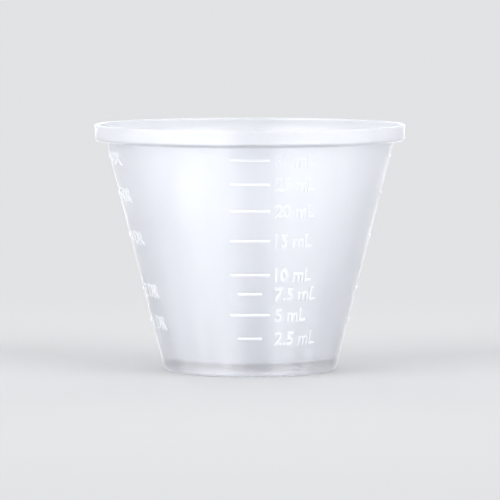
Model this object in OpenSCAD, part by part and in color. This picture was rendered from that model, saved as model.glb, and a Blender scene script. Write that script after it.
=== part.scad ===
// Medicine cup for measured doses up to 30 mL, injection moulded in one piece.
// The origin is the centre of the foot, on the surface that the cup stands on.

/* [Cup] */
// Height from the table to the top of the lip
cup_height = 38; // [35:0.5:42]
// Outside diameter over the lip
rim_d = 48; // [47:0.5:52]
// Outside diameter of the tapered body where it meets the table
foot_d = 26.5; // [25:0.5:29]
// Thickness of the side wall, measured square to it
wall = 0.45; // [0.4:0.05:0.6]

/* [Rim] */
// Height of the upright collar, which is how far one cup stands out of the next in a stack
collar_h = 2.5; // [2.4:0.1:4]
// Width of the ledge under the collar, which rests on the lip of the cup below
ledge_w = 1.7; // [1.5:0.1:2]
// Thickness of the round bead along the lip
lip_d = 0.6; // [0.5:0.05:0.7]
// Radius round the lower edge of the collar
collar_round = 0.5; // [0.45:0.05:0.7]
// Radius in the corner between the body and the ledge
ledge_round = 0.4; // [0.2:0.05:0.5]

/* [Base] */
// Thickness of the floor
floor_t = 0.8; // [0.6:0.05:1]
// Height of the floor's underside above the table
recess_h = 1; // [0.6:0.1:1.2]
// Width of the ring that the cup stands on
ring_w = 1.2; // [1:0.1:1.6]
// Radius round the outer edge of the foot
foot_round = 0.6; // [0.4:0.1:0.8]
// Radius between the floor and the wall inside the cup
corner_round = 0.8; // [0.4:0.1:1]
// Radius between the ring and the recessed underside
recess_round = 0.4; // [0.2:0.1:0.5]
// Diameter of the button that the injection gate leaves under the floor
gate_d = 2.4; // [1.5:0.1:3]
// Depth of that button
gate_h = 0.3; // [0.2:0.05:0.5]

/* [Graduations] */
// Height of each graduation line above the wall, which has to clear the next cup of a stack
line_h = 0.12; // [0.08:0.01:0.13]
// Width of a graduation line where it leaves the wall
line_w = 0.5; // [0.4:0.05:0.6]
// Length of the lines at the whole steps of a scale
long_line = 6; // [5:0.5:7]
// Length of the lines at the half steps
short_line = 3.6; // [3:0.2:4.4]
// Least distance from the highest line up to the ledge
top_margin = 1.5; // [1:0.1:2]

/* [Hidden] */
$fn = 120;

// One US fluid ounce in cubic millimetres, with the dose measures that are parts of it
fluid_ounce = 29573.5;
teaspoon = fluid_ounce / 6;
dram = fluid_ounce / 8;
millilitre = 1000;

// Each scale is the direction that it faces, its step and how many half steps it marks
scales = [
    [270, 5 * millilitre, 2],
    [0, fluid_ounce / 4, 1],
    [90, teaspoon, 1],
    [180, 2 * dram, 1],
];

ledge_z = cup_height - collar_h;
floor_z = recess_h + floor_t;
collar_r = rim_d/2 - (lip_d - wall)/2;
body_top_r = collar_r - ledge_w;
taper = (body_top_r - foot_d/2) / ledge_z;
wall_level = wall * sqrt(1 + taper*taper);
recess_r = foot_d/2 - ring_w;
lip_z = cup_height - lip_d/2;
lip_r = collar_r - wall/2;
line_root = wall/2;
line_draft = line_h / 2;
far = 2 * rim_d;

// Radius of the tapered body outside and inside, at height z
function outer_r(z) = foot_d/2 + taper*z;
function inner_r(z) = outer_r(z) - wall_level;

// Height that a volume fills the cup to, counted over the flat floor
function fill_z(volume) =
    let (floor_r = inner_r(floor_z))
    floor_z + (pow(pow(floor_r, 3) + 3*taper*volume/PI, 1/3) - floor_r) / taper;

// The whole steps of a scale that fit under the ledge
function whole_steps(step) =
    [for (volume = step; fill_z(volume) <= ledge_z - top_margin; volume = volume + step) volume];

function unit(v) = v / norm(v);

// Area between a corner and the arc that rounds it: a and b are points along its two sides
module corner_patch(corner, a, b, radius) {
    to_a = unit(a - corner);
    to_b = unit(b - corner);
    half = acos(to_a * to_b) / 2;
    middle = corner + unit(to_a + to_b) * radius / sin(half);
    reach = radius / tan(half);
    difference() {
        polygon([corner, corner + to_a*reach, middle, corner + to_b*reach]);
        translate(middle) circle(r = radius);
    }
}

// The outside of the body, ledge and collar, filled in to the axis
module outer_profile() {
    foot = [foot_d/2, 0];
    neck = [body_top_r, ledge_z];
    edge = [collar_r, ledge_z];
    difference() {
        polygon([[0, 0], foot, neck, edge, [collar_r, lip_z], [0, lip_z]]);
        corner_patch(foot, [0, 0], neck, foot_round);
        corner_patch(edge, neck, [collar_r, lip_z], collar_round);
    }
    corner_patch(neck, foot, edge, ledge_round);
}

// The space inside, with its two upper corners set a wall away from the outer ones
module inner_profile() {
    top_z = ledge_z + wall;
    floor_edge = [inner_r(floor_z), floor_z];
    neck = [inner_r(top_z), top_z];
    edge = [collar_r - wall, top_z];
    difference() {
        polygon([[0, floor_z], floor_edge, neck, edge, [collar_r - wall, far], [0, far]]);
        corner_patch(floor_edge, [0, floor_z], neck, corner_round);
        corner_patch(edge, neck, [collar_r - wall, far], max(collar_round - wall, wall/4));
    }
    corner_patch(neck, floor_edge, edge, ledge_round + wall);
}

// The shallow space under the floor, inside the ring
module recess_profile() {
    roof_edge = [recess_r, recess_h];
    difference() {
        translate([-recess_r, -recess_h]) square([2*recess_r, 2*recess_h]);
        corner_patch(roof_edge, [0, recess_h], [recess_r, 0], recess_round);
    }
}

module section() {
    difference() {
        outer_profile();
        inner_profile();
        recess_profile();
    }
    translate([lip_r, lip_z]) circle(d = lip_d);
}

// One raised line across a scale, with drafted sides, rooted in the wall
module line(volume, length) {
    z = fill_z(volume);
    sweep = length / outer_r(z) * 180/PI;
    rotate(-sweep/2)
        rotate_extrude(angle = sweep)
            translate([outer_r(z), z]) rotate(-atan(taper))
                polygon([
                    [-line_root, -line_w/2],
                    [0, -line_w/2],
                    [line_h, -line_w/2 + line_draft],
                    [line_h, line_w/2 - line_draft],
                    [0, line_w/2],
                    [-line_root, line_w/2],
                ]);
}

module graduations() {
    for (side = scales)
        rotate(side[0]) {
            for (volume = whole_steps(side[1])) line(volume, long_line);
            for (i = [1:side[2]]) line((i - 1/2) * side[1], short_line);
        }
}

module gate_button() {
    translate([0, 0, recess_h - gate_h]) cylinder(h = gate_h + floor_t/2, d = gate_d);
}

module cup() {
    color([0.92, 0.93, 0.96, 0.6]) {
        rotate_extrude() section();
        graduations();
        gate_button();
    }
}

cup();
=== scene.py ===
# Medicine cup in milky plastic, standing on a pale floor.
import math

import bmesh
import bpy
from mathutils import Matrix, Vector


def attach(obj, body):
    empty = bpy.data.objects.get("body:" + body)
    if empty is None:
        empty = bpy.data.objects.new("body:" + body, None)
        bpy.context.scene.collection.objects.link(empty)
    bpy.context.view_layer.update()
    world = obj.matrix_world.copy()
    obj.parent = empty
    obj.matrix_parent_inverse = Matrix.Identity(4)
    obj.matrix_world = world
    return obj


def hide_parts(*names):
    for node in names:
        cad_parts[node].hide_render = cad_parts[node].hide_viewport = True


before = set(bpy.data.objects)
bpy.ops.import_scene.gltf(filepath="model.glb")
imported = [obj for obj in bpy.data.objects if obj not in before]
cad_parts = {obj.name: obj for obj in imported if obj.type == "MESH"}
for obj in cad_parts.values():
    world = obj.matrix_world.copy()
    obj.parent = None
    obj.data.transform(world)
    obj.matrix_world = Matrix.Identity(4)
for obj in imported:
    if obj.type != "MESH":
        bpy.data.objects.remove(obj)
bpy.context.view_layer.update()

mm = 0.001
square = math.pi / 2


# Materials

plastic = {
    "colour": (0.93, 0.945, 0.975, 1),
    "denseColour": (0.90, 0.915, 0.955, 1),   # where the haze lies thicker
    "clear": 0.70,             # share of the light that goes straight on
    "streakSpread": 0.20,      # how much the streaks and the clouds change that share
    "cloudSpread": 0.06,
    "roughness": 0.33,
    "roughnessSpread": 0.08,
    "ior": 1.49,
    "gloss": 0.75,             # 0.5 is the plain gloss of that index
    "streaks": 14,             # flow streaks up the wall, about this many round the cup
    "streakLength": 12,        # the higher, the shorter they are
    "cloudScale": 220,
    "noiseLow": 0.25,          # noise from here to there gives the whole spread
    "noiseHigh": 0.75,
    "grainScale": 5200,        # satin of the mould's surface
    "grainDepth": 0.008 * mm,
}

hazy = {
    "clear": 0.20,             # the raised marks are hazier than the wall
    "roughness": 0.42,
}


def makePlastic(name, clear, roughness):
    material = bpy.data.materials.new(name)
    material.use_nodes = True
    nodes, links = material.node_tree.nodes, material.node_tree.links
    shader = nodes["Principled BSDF"]
    shader.inputs["IOR"].default_value = plastic["ior"]
    shader.inputs["Specular IOR Level"].default_value = plastic["gloss"]
    place = nodes.new("ShaderNodeTexCoord").outputs["Object"]

    # The direction from the axis alone makes streaks that run up the wall and out over the floor
    flat = nodes.new("ShaderNodeVectorMath")
    flat.operation = "MULTIPLY"
    flat.inputs[1].default_value = (1, 1, 0)
    around = nodes.new("ShaderNodeVectorMath")
    around.operation = "NORMALIZE"
    height = nodes.new("ShaderNodeVectorMath")
    height.operation = "MULTIPLY"
    height.inputs[1].default_value = (0, 0, plastic["streakLength"])
    both = nodes.new("ShaderNodeVectorMath")
    both.operation = "ADD"
    links.new(place, flat.inputs[0])
    links.new(flat.outputs[0], around.inputs[0])
    links.new(place, height.inputs[0])
    links.new(around.outputs[0], both.inputs[0])
    links.new(height.outputs[0], both.inputs[1])

    def noise(vector, scale, detail):
        node = nodes.new("ShaderNodeTexNoise")
        node.inputs["Scale"].default_value = scale
        node.inputs["Detail"].default_value = detail
        links.new(vector, node.inputs["Vector"])
        return node.outputs["Fac"]

    def spread(value, middle, width):
        node = nodes.new("ShaderNodeMapRange")
        node.inputs["From Min"].default_value = plastic["noiseLow"]
        node.inputs["From Max"].default_value = plastic["noiseHigh"]
        node.inputs["To Min"].default_value = middle - width / 2
        node.inputs["To Max"].default_value = middle + width / 2
        links.new(value, node.inputs["Value"])
        return node.outputs["Result"]

    streak = noise(both.outputs[0], plastic["streaks"] / math.pi, 3)
    cloud = noise(place, plastic["cloudScale"], 2)
    haze = nodes.new("ShaderNodeMath")
    haze.operation = "ADD"
    links.new(spread(streak, clear / 2, plastic["streakSpread"]), haze.inputs[0])
    links.new(spread(cloud, clear / 2, plastic["cloudSpread"]), haze.inputs[1])
    links.new(haze.outputs[0], shader.inputs["Transmission Weight"])
    links.new(spread(cloud, roughness, plastic["roughnessSpread"]), shader.inputs["Roughness"])

    tint = nodes.new("ShaderNodeMix")
    tint.data_type = "RGBA"
    tint.inputs["A"].default_value = plastic["colour"]
    tint.inputs["B"].default_value = plastic["denseColour"]
    links.new(spread(streak, 0.5, 1), tint.inputs["Factor"])
    links.new(tint.outputs["Result"], shader.inputs["Base Color"])

    grain = nodes.new("ShaderNodeBump")
    grain.inputs["Strength"].default_value = 1
    grain.inputs["Distance"].default_value = plastic["grainDepth"]
    links.new(noise(place, plastic["grainScale"], 2), grain.inputs["Height"])
    links.new(grain.outputs["Normal"], shader.inputs["Normal"])
    return material


milkyPlastic = makePlastic("milkyPolypropylene", plastic["clear"], plastic["roughness"])
hazyPlastic = makePlastic("hazyPolypropylene", hazy["clear"], hazy["roughness"])
print("materials made")


# The cup

cup = {
    "height": 38 * mm,
    "rimDiameter": 48 * mm,
    "footDiameter": 26.5 * mm,
    "wall": 0.45 * mm,
    "collarHeight": 2.5 * mm,
    "ledgeWidth": 1.7 * mm,
    "lipDiameter": 0.6 * mm,
    "collarRound": 0.5 * mm,
    "ledgeRound": 0.4 * mm,
    "floorThickness": 0.8 * mm,
    "recessHeight": 1.0 * mm,
    "ringWidth": 1.2 * mm,
    "footRound": 0.6 * mm,
    "cornerRound": 0.8 * mm,
    "recessRound": 0.4 * mm,
    "gateDiameter": 2.4 * mm,
    "gateDepth": 0.3 * mm,
    "gateRound": 0.1 * mm,
    "gateStub": 0.4 * mm,          # radius of the broken stub in the middle of the button
    "gateStubDepth": 0.2 * mm,
    "steps": 256,
    "weld": 0.001 * mm,            # points closer than this become one
}

ledgeZ = cup["height"] - cup["collarHeight"]
floorZ = cup["recessHeight"] + cup["floorThickness"]
collarR = cup["rimDiameter"] / 2 - (cup["lipDiameter"] - cup["wall"]) / 2
taper = (collarR - cup["ledgeWidth"] - cup["footDiameter"] / 2) / ledgeZ
lean = math.atan(taper)
wallLevel = cup["wall"] / math.cos(lean)


def outerR(z):
    return cup["footDiameter"] / 2 + taper * z


def innerR(z):
    return outerR(z) - wallLevel


# Height that a volume fills the cup to, counted over the flat floor
def fillZ(volume):
    floorR = innerR(floorZ)
    return floorZ + ((floorR ** 3 + 3 * taper * volume / math.pi) ** (1 / 3) - floorR) / taper


# Rounds the ring of edges at (r, z), where the section turns by that angle
def roundRing(bm, r, z, radius, turn, segments=6):
    edges = [
        e for e in bm.edges
        if all(abs(math.hypot(v.co.x, v.co.y) - r) < 1e-6 and abs(v.co.z - z) < 1e-6 for v in e.verts)
    ]
    bmesh.ops.bevel(
        bm, geom=edges, offset=radius * math.tan(turn / 2), offset_type="OFFSET",
        segments=segments, profile=0.5, affect="EDGES", material=-1, clamp_overlap=False,
    )


def makeBody():
    bm = bmesh.new()
    buttonR = cup["gateDiameter"] / 2
    buttonZ = cup["recessHeight"] - cup["gateDepth"]
    recessR = cup["footDiameter"] / 2 - cup["ringWidth"]
    topZ = ledgeZ + cup["wall"]
    insideR = collarR - cup["wall"]
    lipR = collarR - cup["wall"] / 2
    lipZ = cup["height"] - cup["lipDiameter"] / 2
    openAngle = math.acos(cup["wall"] / cup["lipDiameter"])   # where the collar meets the round lip
    beadZ = lipZ - cup["lipDiameter"] / 2 * math.sin(openAngle)

    outside = [
        (0, buttonZ - cup["gateStubDepth"]),
        (cup["gateStub"], buttonZ - cup["gateStubDepth"]),
        (cup["gateStub"], buttonZ),
        (buttonR, buttonZ),
        (buttonR, cup["recessHeight"]),
        (recessR, cup["recessHeight"]),
        (recessR, 0),
        (cup["footDiameter"] / 2, 0),
        (outerR(ledgeZ), ledgeZ),
        (collarR, ledgeZ),
        (collarR, beadZ),
    ]
    inside = [
        (insideR, topZ),
        (innerR(topZ), topZ),
        (innerR(floorZ), floorZ),
        (0, floorZ),
    ]
    verts = [bm.verts.new((r, 0, z)) for r, z in outside]
    bead = bmesh.ops.spin(
        bm, geom=[verts[-1]], cent=(lipR, 0, lipZ), axis=(0, 1, 0),
        angle=-(math.pi + 2 * openAngle), steps=20, use_merge=False,
    )
    last = [v for v in bead["geom_last"] if isinstance(v, bmesh.types.BMVert)][0]
    rest = [last] + [bm.verts.new((r, 0, z)) for r, z in inside]
    for chain in (verts, rest):
        for pair in zip(chain, chain[1:]):
            bm.edges.new(pair)
    bmesh.ops.spin(
        bm, geom=bm.verts[:] + bm.edges[:], cent=(0, 0, 0), axis=(0, 0, 1), angle=2 * math.pi,
        steps=cup["steps"], use_merge=True,
    )
    bmesh.ops.remove_doubles(bm, verts=bm.verts, dist=cup["weld"])
    bmesh.ops.recalc_face_normals(bm, faces=bm.faces)
    roundRing(bm, buttonR, buttonZ, cup["gateRound"], square, 3)
    roundRing(bm, recessR, cup["recessHeight"], cup["recessRound"], square)
    roundRing(bm, cup["footDiameter"] / 2, 0, cup["footRound"], square - lean)
    roundRing(bm, outerR(ledgeZ), ledgeZ, cup["ledgeRound"], square - lean)
    roundRing(bm, collarR, ledgeZ, cup["collarRound"], square)
    roundRing(bm, insideR, topZ, cup["wall"] / 4, square, 3)
    roundRing(bm, innerR(topZ), topZ, cup["ledgeRound"] + cup["wall"], square - lean)
    roundRing(bm, innerR(floorZ), floorZ, cup["cornerRound"], square - lean)
    mesh = bpy.data.meshes.new("cup")
    bm.to_mesh(mesh)
    bm.free()
    mesh.materials.append(milkyPlastic)
    obj = bpy.data.objects.new("mouldedCup", mesh)
    bpy.context.scene.collection.objects.link(obj)
    return obj


# The raised lines and their numbers

marks = {
    "lineHeight": 0.12 * mm,
    "lineWidth": 0.5 * mm,
    "longLine": 6 * mm,
    "shortLine": 3.6 * mm,
    "softEdge": 0.03 * mm,
    "root": 0.12 * mm,             # how deep a mark starts in the wall
    "capHeight": 2.0 * mm,
    "capShare": 0.69,              # of the font's size
    "narrowed": 0.86,
    "bolder": 0.08 * mm,           # added round a letter's outline
    "shortestEdge": 0.02 * mm,     # of that outline
    "labelStart": 3.8 * mm,        # from the middle of the lines
}

millilitre = 1e-6
fluidOunce = 29.5735e-6
teaspoon = fluidOunce / 6
dram = fluidOunce / 8

scales = [
    {"faces": 270, "unit": "mL", "one": millilitre, "long": (5, 10, 15, 20, 25, 30), "short": (2.5, 7.5)},
    {"faces": 0, "unit": "OZ", "one": fluidOunce, "long": (1 / 4, 1 / 2, 3 / 4, 1), "short": (1 / 8,)},
    {"faces": 90, "unit": "TSP", "one": teaspoon, "long": (1, 2, 3, 4, 5, 6), "short": (1 / 2,)},
    {"faces": 180, "unit": "DR", "one": dram, "long": (2, 4, 6, 8), "short": (1,)},
]
fractions = {1 / 8: "1/8", 1 / 4: "1/4", 1 / 2: "1/2", 3 / 4: "3/4"}


def joinMesh(bm, part):
    mesh = bpy.data.meshes.new("part")
    part.to_mesh(mesh)
    part.free()
    bm.from_mesh(mesh)
    bpy.data.meshes.remove(mesh)


# One raised line across a scale, with drafted sides and softened edges
def addLine(bm, z, length, faces):
    top = (marks["lineWidth"] - marks["lineHeight"]) / 2
    root = (marks["lineWidth"] + marks["root"]) / 2
    sweep = length / outerR(z)
    section = [
        (-marks["root"], -root), (marks["lineHeight"], -top),
        (marks["lineHeight"], top), (-marks["root"], root),
    ]
    out = Vector((math.cos(lean), 0, -math.sin(lean)))
    up = Vector((math.sin(lean), 0, math.cos(lean)))
    start = Vector((outerR(z), 0, z))
    line = bmesh.new()
    face = line.faces.new([line.verts.new(start + out * w + up * v) for w, v in section])
    bmesh.ops.spin(
        line, geom=face.verts[:] + face.edges[:] + [face], cent=(0, 0, 0), axis=(0, 0, 1),
        angle=sweep, steps=12, use_merge=False,
    )
    bmesh.ops.recalc_face_normals(line, faces=line.faces)
    proud = outerR(z) + marks["lineHeight"] * 0.8
    edges = [
        e for e in line.edges
        if e.is_manifold and e.calc_face_angle() > 0.5
        and all(math.hypot(v.co.x, v.co.y) - taper * (v.co.z - z) > proud for v in e.verts)
    ]
    bmesh.ops.bevel(
        line, geom=edges, offset=marks["softEdge"], offset_type="OFFSET", segments=2, profile=0.5,
        affect="EDGES", material=-1, clamp_overlap=True,
    )
    turn = Matrix.Rotation(math.radians(faces) - sweep / 2, 4, "Z")
    bmesh.ops.transform(line, matrix=turn, verts=line.verts)
    joinMesh(bm, line)


# A number and its unit, beside a line, bent round the tapered wall
def addLabel(bm, words, z, faces):
    size = marks["capHeight"] / marks["capShare"]
    curve = bpy.data.curves.new("label", "FONT")
    curve.body = words
    curve.size = size
    curve.resolution_u = 3
    obj = bpy.data.objects.new("label", curve)
    bpy.context.scene.collection.objects.link(obj)
    graph = bpy.context.evaluated_depsgraph_get()
    mesh = bpy.data.meshes.new_from_object(obj.evaluated_get(graph), depsgraph=graph)
    bpy.data.objects.remove(obj)
    label = bmesh.new()
    label.from_mesh(mesh)
    bpy.data.meshes.remove(mesh)
    bmesh.ops.remove_doubles(label, verts=label.verts, dist=marks["shortestEdge"])
    bmesh.ops.recalc_face_normals(label, faces=label.faces)
    rim = bmesh.ops.inset_region(
        label, faces=label.faces[:], thickness=-marks["bolder"], use_boundary=True, use_even_offset=True,
    )
    bmesh.ops.delete(label, geom=rim["faces"], context="FACES")
    block = bmesh.ops.extrude_face_region(label, geom=label.faces[:], use_keep_orig=True)
    raised = [v for v in block["geom"] if isinstance(v, bmesh.types.BMVert)]
    top = [f for f in block["geom"] if isinstance(f, bmesh.types.BMFace)]
    bmesh.ops.translate(label, vec=(0, 0, marks["root"] + marks["lineHeight"] - marks["softEdge"]), verts=raised)
    bmesh.ops.recalc_face_normals(label, faces=label.faces)
    bmesh.ops.inset_region(
        label, faces=top, thickness=marks["softEdge"], depth=marks["softEdge"], use_boundary=True,
        use_even_offset=True,
    )
    left = min(v.co.x for v in label.verts)
    for v in label.verts:
        across = marks["labelStart"] + (v.co.x - left) * marks["narrowed"]
        up = v.co.y - marks["capHeight"] / 2
        out = v.co.z - marks["root"]
        angle = math.radians(faces) + across / outerR(z)
        r = outerR(z) + up * math.sin(lean) + out * math.cos(lean)
        v.co = (r * math.cos(angle), r * math.sin(angle), z + up * math.cos(lean) - out * math.sin(lean))
    joinMesh(bm, label)


def makeMarks():
    bm = bmesh.new()
    for scale in scales:
        for amount in scale["long"] + scale["short"]:
            z = fillZ(amount * scale["one"])
            length = marks["longLine"] if amount in scale["long"] else marks["shortLine"]
            addLine(bm, z, length, scale["faces"])
            addLabel(bm, fractions.get(amount, "%g" % amount) + " " + scale["unit"], z, scale["faces"])
    mesh = bpy.data.meshes.new("marks")
    bm.to_mesh(mesh)
    bm.free()
    mesh.materials.append(hazyPlastic)
    obj = bpy.data.objects.new("marks", mesh)
    bpy.context.scene.collection.objects.link(obj)
    return obj


# Body and marks become one moulding
def joinMoulding(body, added):
    union = body.modifiers.new("union", "BOOLEAN")
    union.operation = "UNION"
    union.solver = "MANIFOLD"
    union.material_mode = "TRANSFER"
    union.object = added
    graph = bpy.context.evaluated_depsgraph_get()
    mesh = bpy.data.meshes.new_from_object(body.evaluated_get(graph), depsgraph=graph)
    bm = bmesh.new()
    bm.from_mesh(mesh)
    bmesh.ops.remove_doubles(bm, verts=bm.verts, dist=cup["weld"])
    bm.to_mesh(mesh)
    bm.free()
    body.modifiers.clear()
    body.data = mesh
    bpy.data.objects.remove(added)
    mesh.shade_smooth()
    mesh.set_sharp_from_angle(angle=math.radians(35))


mouldedCup = makeBody()
print("body made", len(mouldedCup.data.polygons), "faces")
raisedMarks = makeMarks()
print("marks made", len(raisedMarks.data.polygons), "faces")
joinMoulding(mouldedCup, raisedMarks)
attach(mouldedCup, "root")
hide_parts("cup")
print("cup moulded", len(mouldedCup.data.polygons), "faces")


# The floor and the light

studio = {
    "floor": (0.592, 0.597, 0.609, 1),
    "backdrop": (0.76, 0.765, 0.78, 1),
    "floorRadius": 8.0,
    "fadeFrom": 0.05,          # from here the floor turns into the backdrop
    "fadeTo": 0.20,
    "ambient": 0.56,
    "aim": 0.02,               # height that the lights and cards face
    "topPower": 3.5,
    "topSize": 1.6,
    "topDistance": 0.05,
    "topHeight": 1.4,
    "frontPower": 7.6,
    "frontTurn": 54,           # of the two lights in front, from the camera's side
    "backPower": 3.0,
    "backTurn": 145,
    "boxSize": 1.0,
    "boxDistance": 1.0,
    "boxHeight": 0.6,
    "cardHeight": 2.4,
    "cardDistance": 0.8,
    "cards": {                 # strength at the left and the right edge, seen from the back of the card
        "Left": {"turn": -58, "width": 1.7, "strengths": (2.5, 6.7)},
        "Right": {"turn": 68, "width": 1.4, "strengths": (5.1, 1.1)},
        "Back": {"turn": 180, "width": 0.6, "strengths": (2.0, 2.0)},
    },
}


def makeFloor():
    bm = bmesh.new()
    bmesh.ops.create_circle(bm, cap_ends=True, segments=128, radius=studio["floorRadius"])
    mesh = bpy.data.meshes.new("floor")
    bm.to_mesh(mesh)
    bm.free()
    floor = bpy.data.objects.new("floor", mesh)
    bpy.context.scene.collection.objects.link(floor)
    material = bpy.data.materials.new("paleFloor")
    material.use_nodes = True
    nodes, links = material.node_tree.nodes, material.node_tree.links
    nodes.clear()
    output = nodes.new("ShaderNodeOutputMaterial")
    mix = nodes.new("ShaderNodeMixShader")
    diffuse = nodes.new("ShaderNodeBsdfDiffuse")
    diffuse.inputs["Color"].default_value = studio["floor"]
    glow = nodes.new("ShaderNodeEmission")
    glow.inputs["Color"].default_value = studio["backdrop"]
    place = nodes.new("ShaderNodeTexCoord")
    distance = nodes.new("ShaderNodeVectorMath")
    distance.operation = "LENGTH"
    fade = nodes.new("ShaderNodeMapRange")
    fade.interpolation_type = "SMOOTHSTEP"
    fade.inputs["From Min"].default_value = studio["fadeFrom"]
    fade.inputs["From Max"].default_value = studio["fadeTo"]
    links.new(place.outputs["Object"], distance.inputs[0])
    links.new(distance.outputs["Value"], fade.inputs["Value"])
    links.new(fade.outputs["Result"], mix.inputs["Fac"])
    links.new(diffuse.outputs["BSDF"], mix.inputs[1])
    links.new(glow.outputs["Emission"], mix.inputs[2])
    links.new(mix.outputs["Shader"], output.inputs["Surface"])
    mesh.materials.append(material)
    floor.visible_glossy = False


def makeWorld():
    world = bpy.data.worlds.new("studio")
    bpy.context.scene.world = world
    world.use_nodes = True
    nodes, links = world.node_tree.nodes, world.node_tree.links
    light = nodes["Background"]
    light.inputs["Color"].default_value = (1, 1, 1, 1)
    light.inputs["Strength"].default_value = studio["ambient"]
    shown = nodes.new("ShaderNodeBackground")
    shown.inputs["Color"].default_value = studio["backdrop"]
    path = nodes.new("ShaderNodeLightPath")
    straight = nodes.new("ShaderNodeMath")
    straight.operation = "MAXIMUM"
    seen = nodes.new("ShaderNodeMath")
    seen.operation = "MAXIMUM"
    mix = nodes.new("ShaderNodeMixShader")
    links.new(path.outputs["Is Camera Ray"], straight.inputs[0])
    links.new(path.outputs["Is Transmission Ray"], straight.inputs[1])
    links.new(straight.outputs["Value"], seen.inputs[0])
    links.new(path.outputs["Is Glossy Ray"], seen.inputs[1])
    links.new(seen.outputs["Value"], mix.inputs["Fac"])
    links.new(light.outputs["Background"], mix.inputs[1])
    links.new(shown.outputs["Background"], mix.inputs[2])
    links.new(mix.outputs["Shader"], nodes["World Output"].inputs["Surface"])


# Puts a light or card round the cup, facing it; turn 0 is the camera's side
def placeToward(obj, turn, distance, height):
    angle = math.radians(turn)
    spot = Vector((math.sin(angle) * distance, -math.cos(angle) * distance, height))
    aim = Vector((0, 0, studio["aim"])) - spot
    obj.matrix_world = Matrix.Translation(spot) @ aim.to_track_quat("-Z", "Y").to_matrix().to_4x4()


def makeSoftbox(name, power, size, turn, distance, height):
    light = bpy.data.lights.new(name, "AREA")
    light.shape = "SQUARE"
    light.size = size
    light.energy = power
    obj = bpy.data.objects.new(name, light)
    bpy.context.scene.collection.objects.link(obj)
    placeToward(obj, turn, distance, height)
    obj.visible_camera = False
    obj.visible_glossy = False


# A tall glowing card that only the cup's gloss sees, above and below the floor
def makeCard(name, turn, width, strengths):
    bm = bmesh.new()
    bmesh.ops.create_grid(bm, x_segments=1, y_segments=1, size=0.5)
    bmesh.ops.scale(bm, vec=(width, studio["cardHeight"], 1), verts=bm.verts)
    mesh = bpy.data.meshes.new(name)
    bm.to_mesh(mesh)
    bm.free()
    obj = bpy.data.objects.new(name, mesh)
    bpy.context.scene.collection.objects.link(obj)
    placeToward(obj, turn, studio["cardDistance"], studio["aim"])
    material = bpy.data.materials.new(name)
    material.use_nodes = True
    nodes, links = material.node_tree.nodes, material.node_tree.links
    nodes.clear()
    glow = nodes.new("ShaderNodeEmission")
    place = nodes.new("ShaderNodeTexCoord")
    across = nodes.new("ShaderNodeSeparateXYZ")
    fade = nodes.new("ShaderNodeMapRange")
    fade.inputs["From Min"].default_value = -width / 2
    fade.inputs["From Max"].default_value = width / 2
    fade.inputs["To Min"].default_value, fade.inputs["To Max"].default_value = strengths
    links.new(place.outputs["Object"], across.inputs["Vector"])
    links.new(across.outputs["X"], fade.inputs["Value"])
    links.new(fade.outputs["Result"], glow.inputs["Strength"])
    links.new(glow.outputs["Emission"], nodes.new("ShaderNodeOutputMaterial").inputs["Surface"])
    mesh.materials.append(material)
    for ray in ("camera", "diffuse", "transmission", "volume_scatter", "shadow"):
        setattr(obj, "visible_" + ray, False)


makeFloor()
makeWorld()
makeSoftbox("topSoftbox", studio["topPower"], studio["topSize"], 0, studio["topDistance"], studio["topHeight"])
for name, side in (("Left", -1), ("Right", 1)):
    for part in ("front", "back"):
        makeSoftbox(
            part + "Softbox" + name, studio[part + "Power"], studio["boxSize"],
            side * studio[part + "Turn"], studio["boxDistance"], studio["boxHeight"],
        )
for name, card in studio["cards"].items():
    makeCard("card" + name, card["turn"], card["width"], card["strengths"])
print("studio made")


# The camera

camera = {
    "distance": 0.69,
    "height": 0.068,
    "aim": 0.0185,
    "view": 6.4,
}


def makeCamera():
    data = bpy.data.cameras.new("camera")
    data.angle = math.radians(camera["view"])
    obj = bpy.data.objects.new("camera", data)
    bpy.context.scene.collection.objects.link(obj)
    spot = Vector((0, -camera["distance"], camera["height"]))
    aim = Vector((0, 0, camera["aim"])) - spot
    obj.matrix_world = Matrix.Translation(spot) @ aim.to_track_quat("-Z", "Y").to_matrix().to_4x4()
    bpy.context.scene.camera = obj


makeCamera()
bpy.context.scene.view_settings.view_transform = "Standard"
